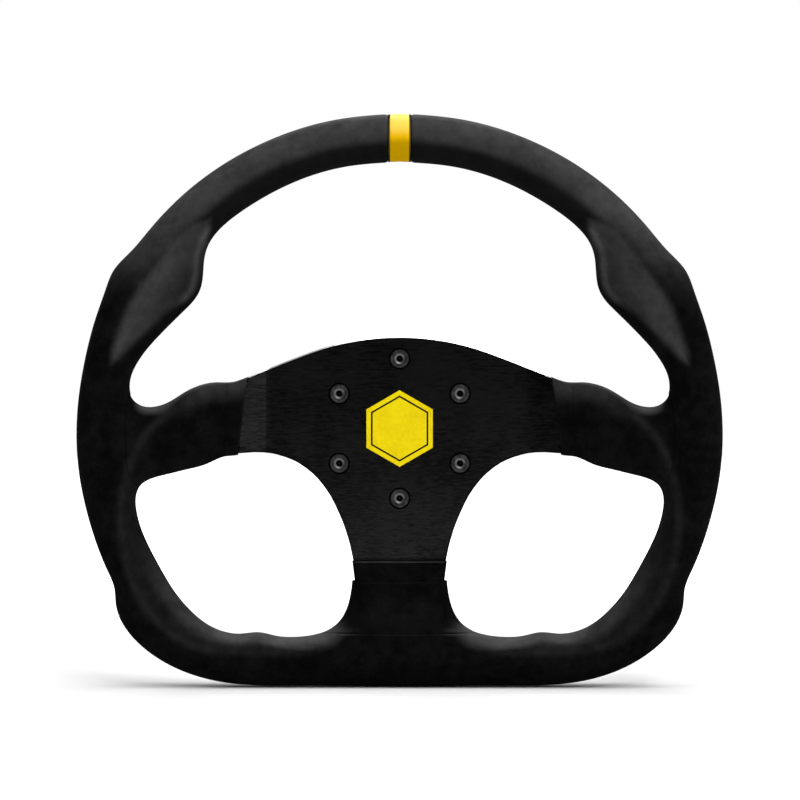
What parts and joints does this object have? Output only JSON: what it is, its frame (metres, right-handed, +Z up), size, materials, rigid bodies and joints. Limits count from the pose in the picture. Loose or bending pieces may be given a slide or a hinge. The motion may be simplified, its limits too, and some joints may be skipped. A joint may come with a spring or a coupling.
{
  "type": "quick release steering wheel",
  "caption": "Flat-bottomed motorsport steering wheel in suede with a three-armed aluminium plate, thumb rests and a ball-lock quick release hub.",
  "frame": {"origin": "on the steering axis at the rear face of the splined socket, where the wheel seats on the column", "axes": "+Z up the wheel, +X to the driver's right, the wheel faces the driver along -Y and +Y points down the column"},
  "size_m": [0.32, 0.0777, 0.2829],
  "materials": {
    "anodised_plate": "black anodised over a horizontal brush, edges broken",
    "suede": "black napped suede, matt and mottled",
    "marker_suede": "yellow napped suede",
    "foam": "moulded polyurethane foam",
    "bare_aluminium": "mill finish",
    "screw_steel": "blackened steel",
    "hub_anodised": "black anodised, turned",
    "collar_anodised": "natural anodised, turned and knurled",
    "steel": "ground and hardened steel",
    "spring_steel": "oil-tempered spring steel"
  },
  "bodies": {
    "wheel": {"spoke_plate": "anodised_plate", "rim_armature": "bare_aluminium", "grip_core": "foam", "rim_suede": "suede", "top_marker": "marker_suede", "hub_flange": "hub_anodised", "hub_socket": "steel", "release_spring": "spring_steel", "collar_retaining_ring": "spring_steel", "right_spoke_suede": "suede", "left_spoke_suede": "suede", "bottom_spoke_suede": "suede", "right_spoke_band": "suede", "left_spoke_band": "suede", "bottom_spoke_band": "suede", "plate_screw_1": "screw_steel", "plate_screw_2": "screw_steel", "plate_screw_3": "screw_steel", "plate_screw_4": "screw_steel", "plate_screw_5": "screw_steel", "plate_screw_6": "screw_steel", "right_rivet_1": "bare_aluminium", "right_rivet_2": "bare_aluminium", "left_rivet_1": "bare_aluminium", "left_rivet_2": "bare_aluminium", "bottom_rivet_1": "bare_aluminium", "bottom_rivet_2": "bare_aluminium"},
    "collar": {"release_collar": "collar_anodised"},
    "ball_1": {"lock_ball_1": "steel"},
    "ball_2": {"lock_ball_2": "steel"},
    "ball_3": {"lock_ball_3": "steel"},
    "ball_4": {"lock_ball_4": "steel"},
    "ball_5": {"lock_ball_5": "steel"},
    "ball_6": {"lock_ball_6": "steel"}
  },
  "joints": [
    {"name": "collar_slide", "type": "slide", "parent": "wheel", "child": "collar", "axis": [0, -1, 0], "range_m": [0, 0.006], "stiffness_N_per_m": 1200, "springref_m": -0.005, "deforming": ["release_spring"]},
    {"name": "ball_1_slide", "type": "slide", "parent": "wheel", "child": "ball_1", "axis": [0, 0, 1], "range_m": [0, 0.0015]},
    {"name": "ball_2_slide", "type": "slide", "parent": "wheel", "child": "ball_2", "axis": [0.866, 0, 0.5], "range_m": [0, 0.0015]},
    {"name": "ball_3_slide", "type": "slide", "parent": "wheel", "child": "ball_3", "axis": [0.866, 0, -0.5], "range_m": [0, 0.0015]},
    {"name": "ball_4_slide", "type": "slide", "parent": "wheel", "child": "ball_4", "axis": [0, 0, -1], "range_m": [0, 0.0015]},
    {"name": "ball_5_slide", "type": "slide", "parent": "wheel", "child": "ball_5", "axis": [-0.866, 0, -0.5], "range_m": [0, 0.0015]},
    {"name": "ball_6_slide", "type": "slide", "parent": "wheel", "child": "ball_6", "axis": [-0.866, 0, 0.5], "range_m": [0, 0.0015]}
  ],
  "couplings": [
    {"joint": "ball_1_slide", "follows": "collar_slide", "ratio": 0.25},
    {"joint": "ball_2_slide", "follows": "collar_slide", "ratio": 0.25},
    {"joint": "ball_3_slide", "follows": "collar_slide", "ratio": 0.25},
    {"joint": "ball_4_slide", "follows": "collar_slide", "ratio": 0.25},
    {"joint": "ball_5_slide", "follows": "collar_slide", "ratio": 0.25},
    {"joint": "ball_6_slide", "follows": "collar_slide", "ratio": 0.25}
  ]
}
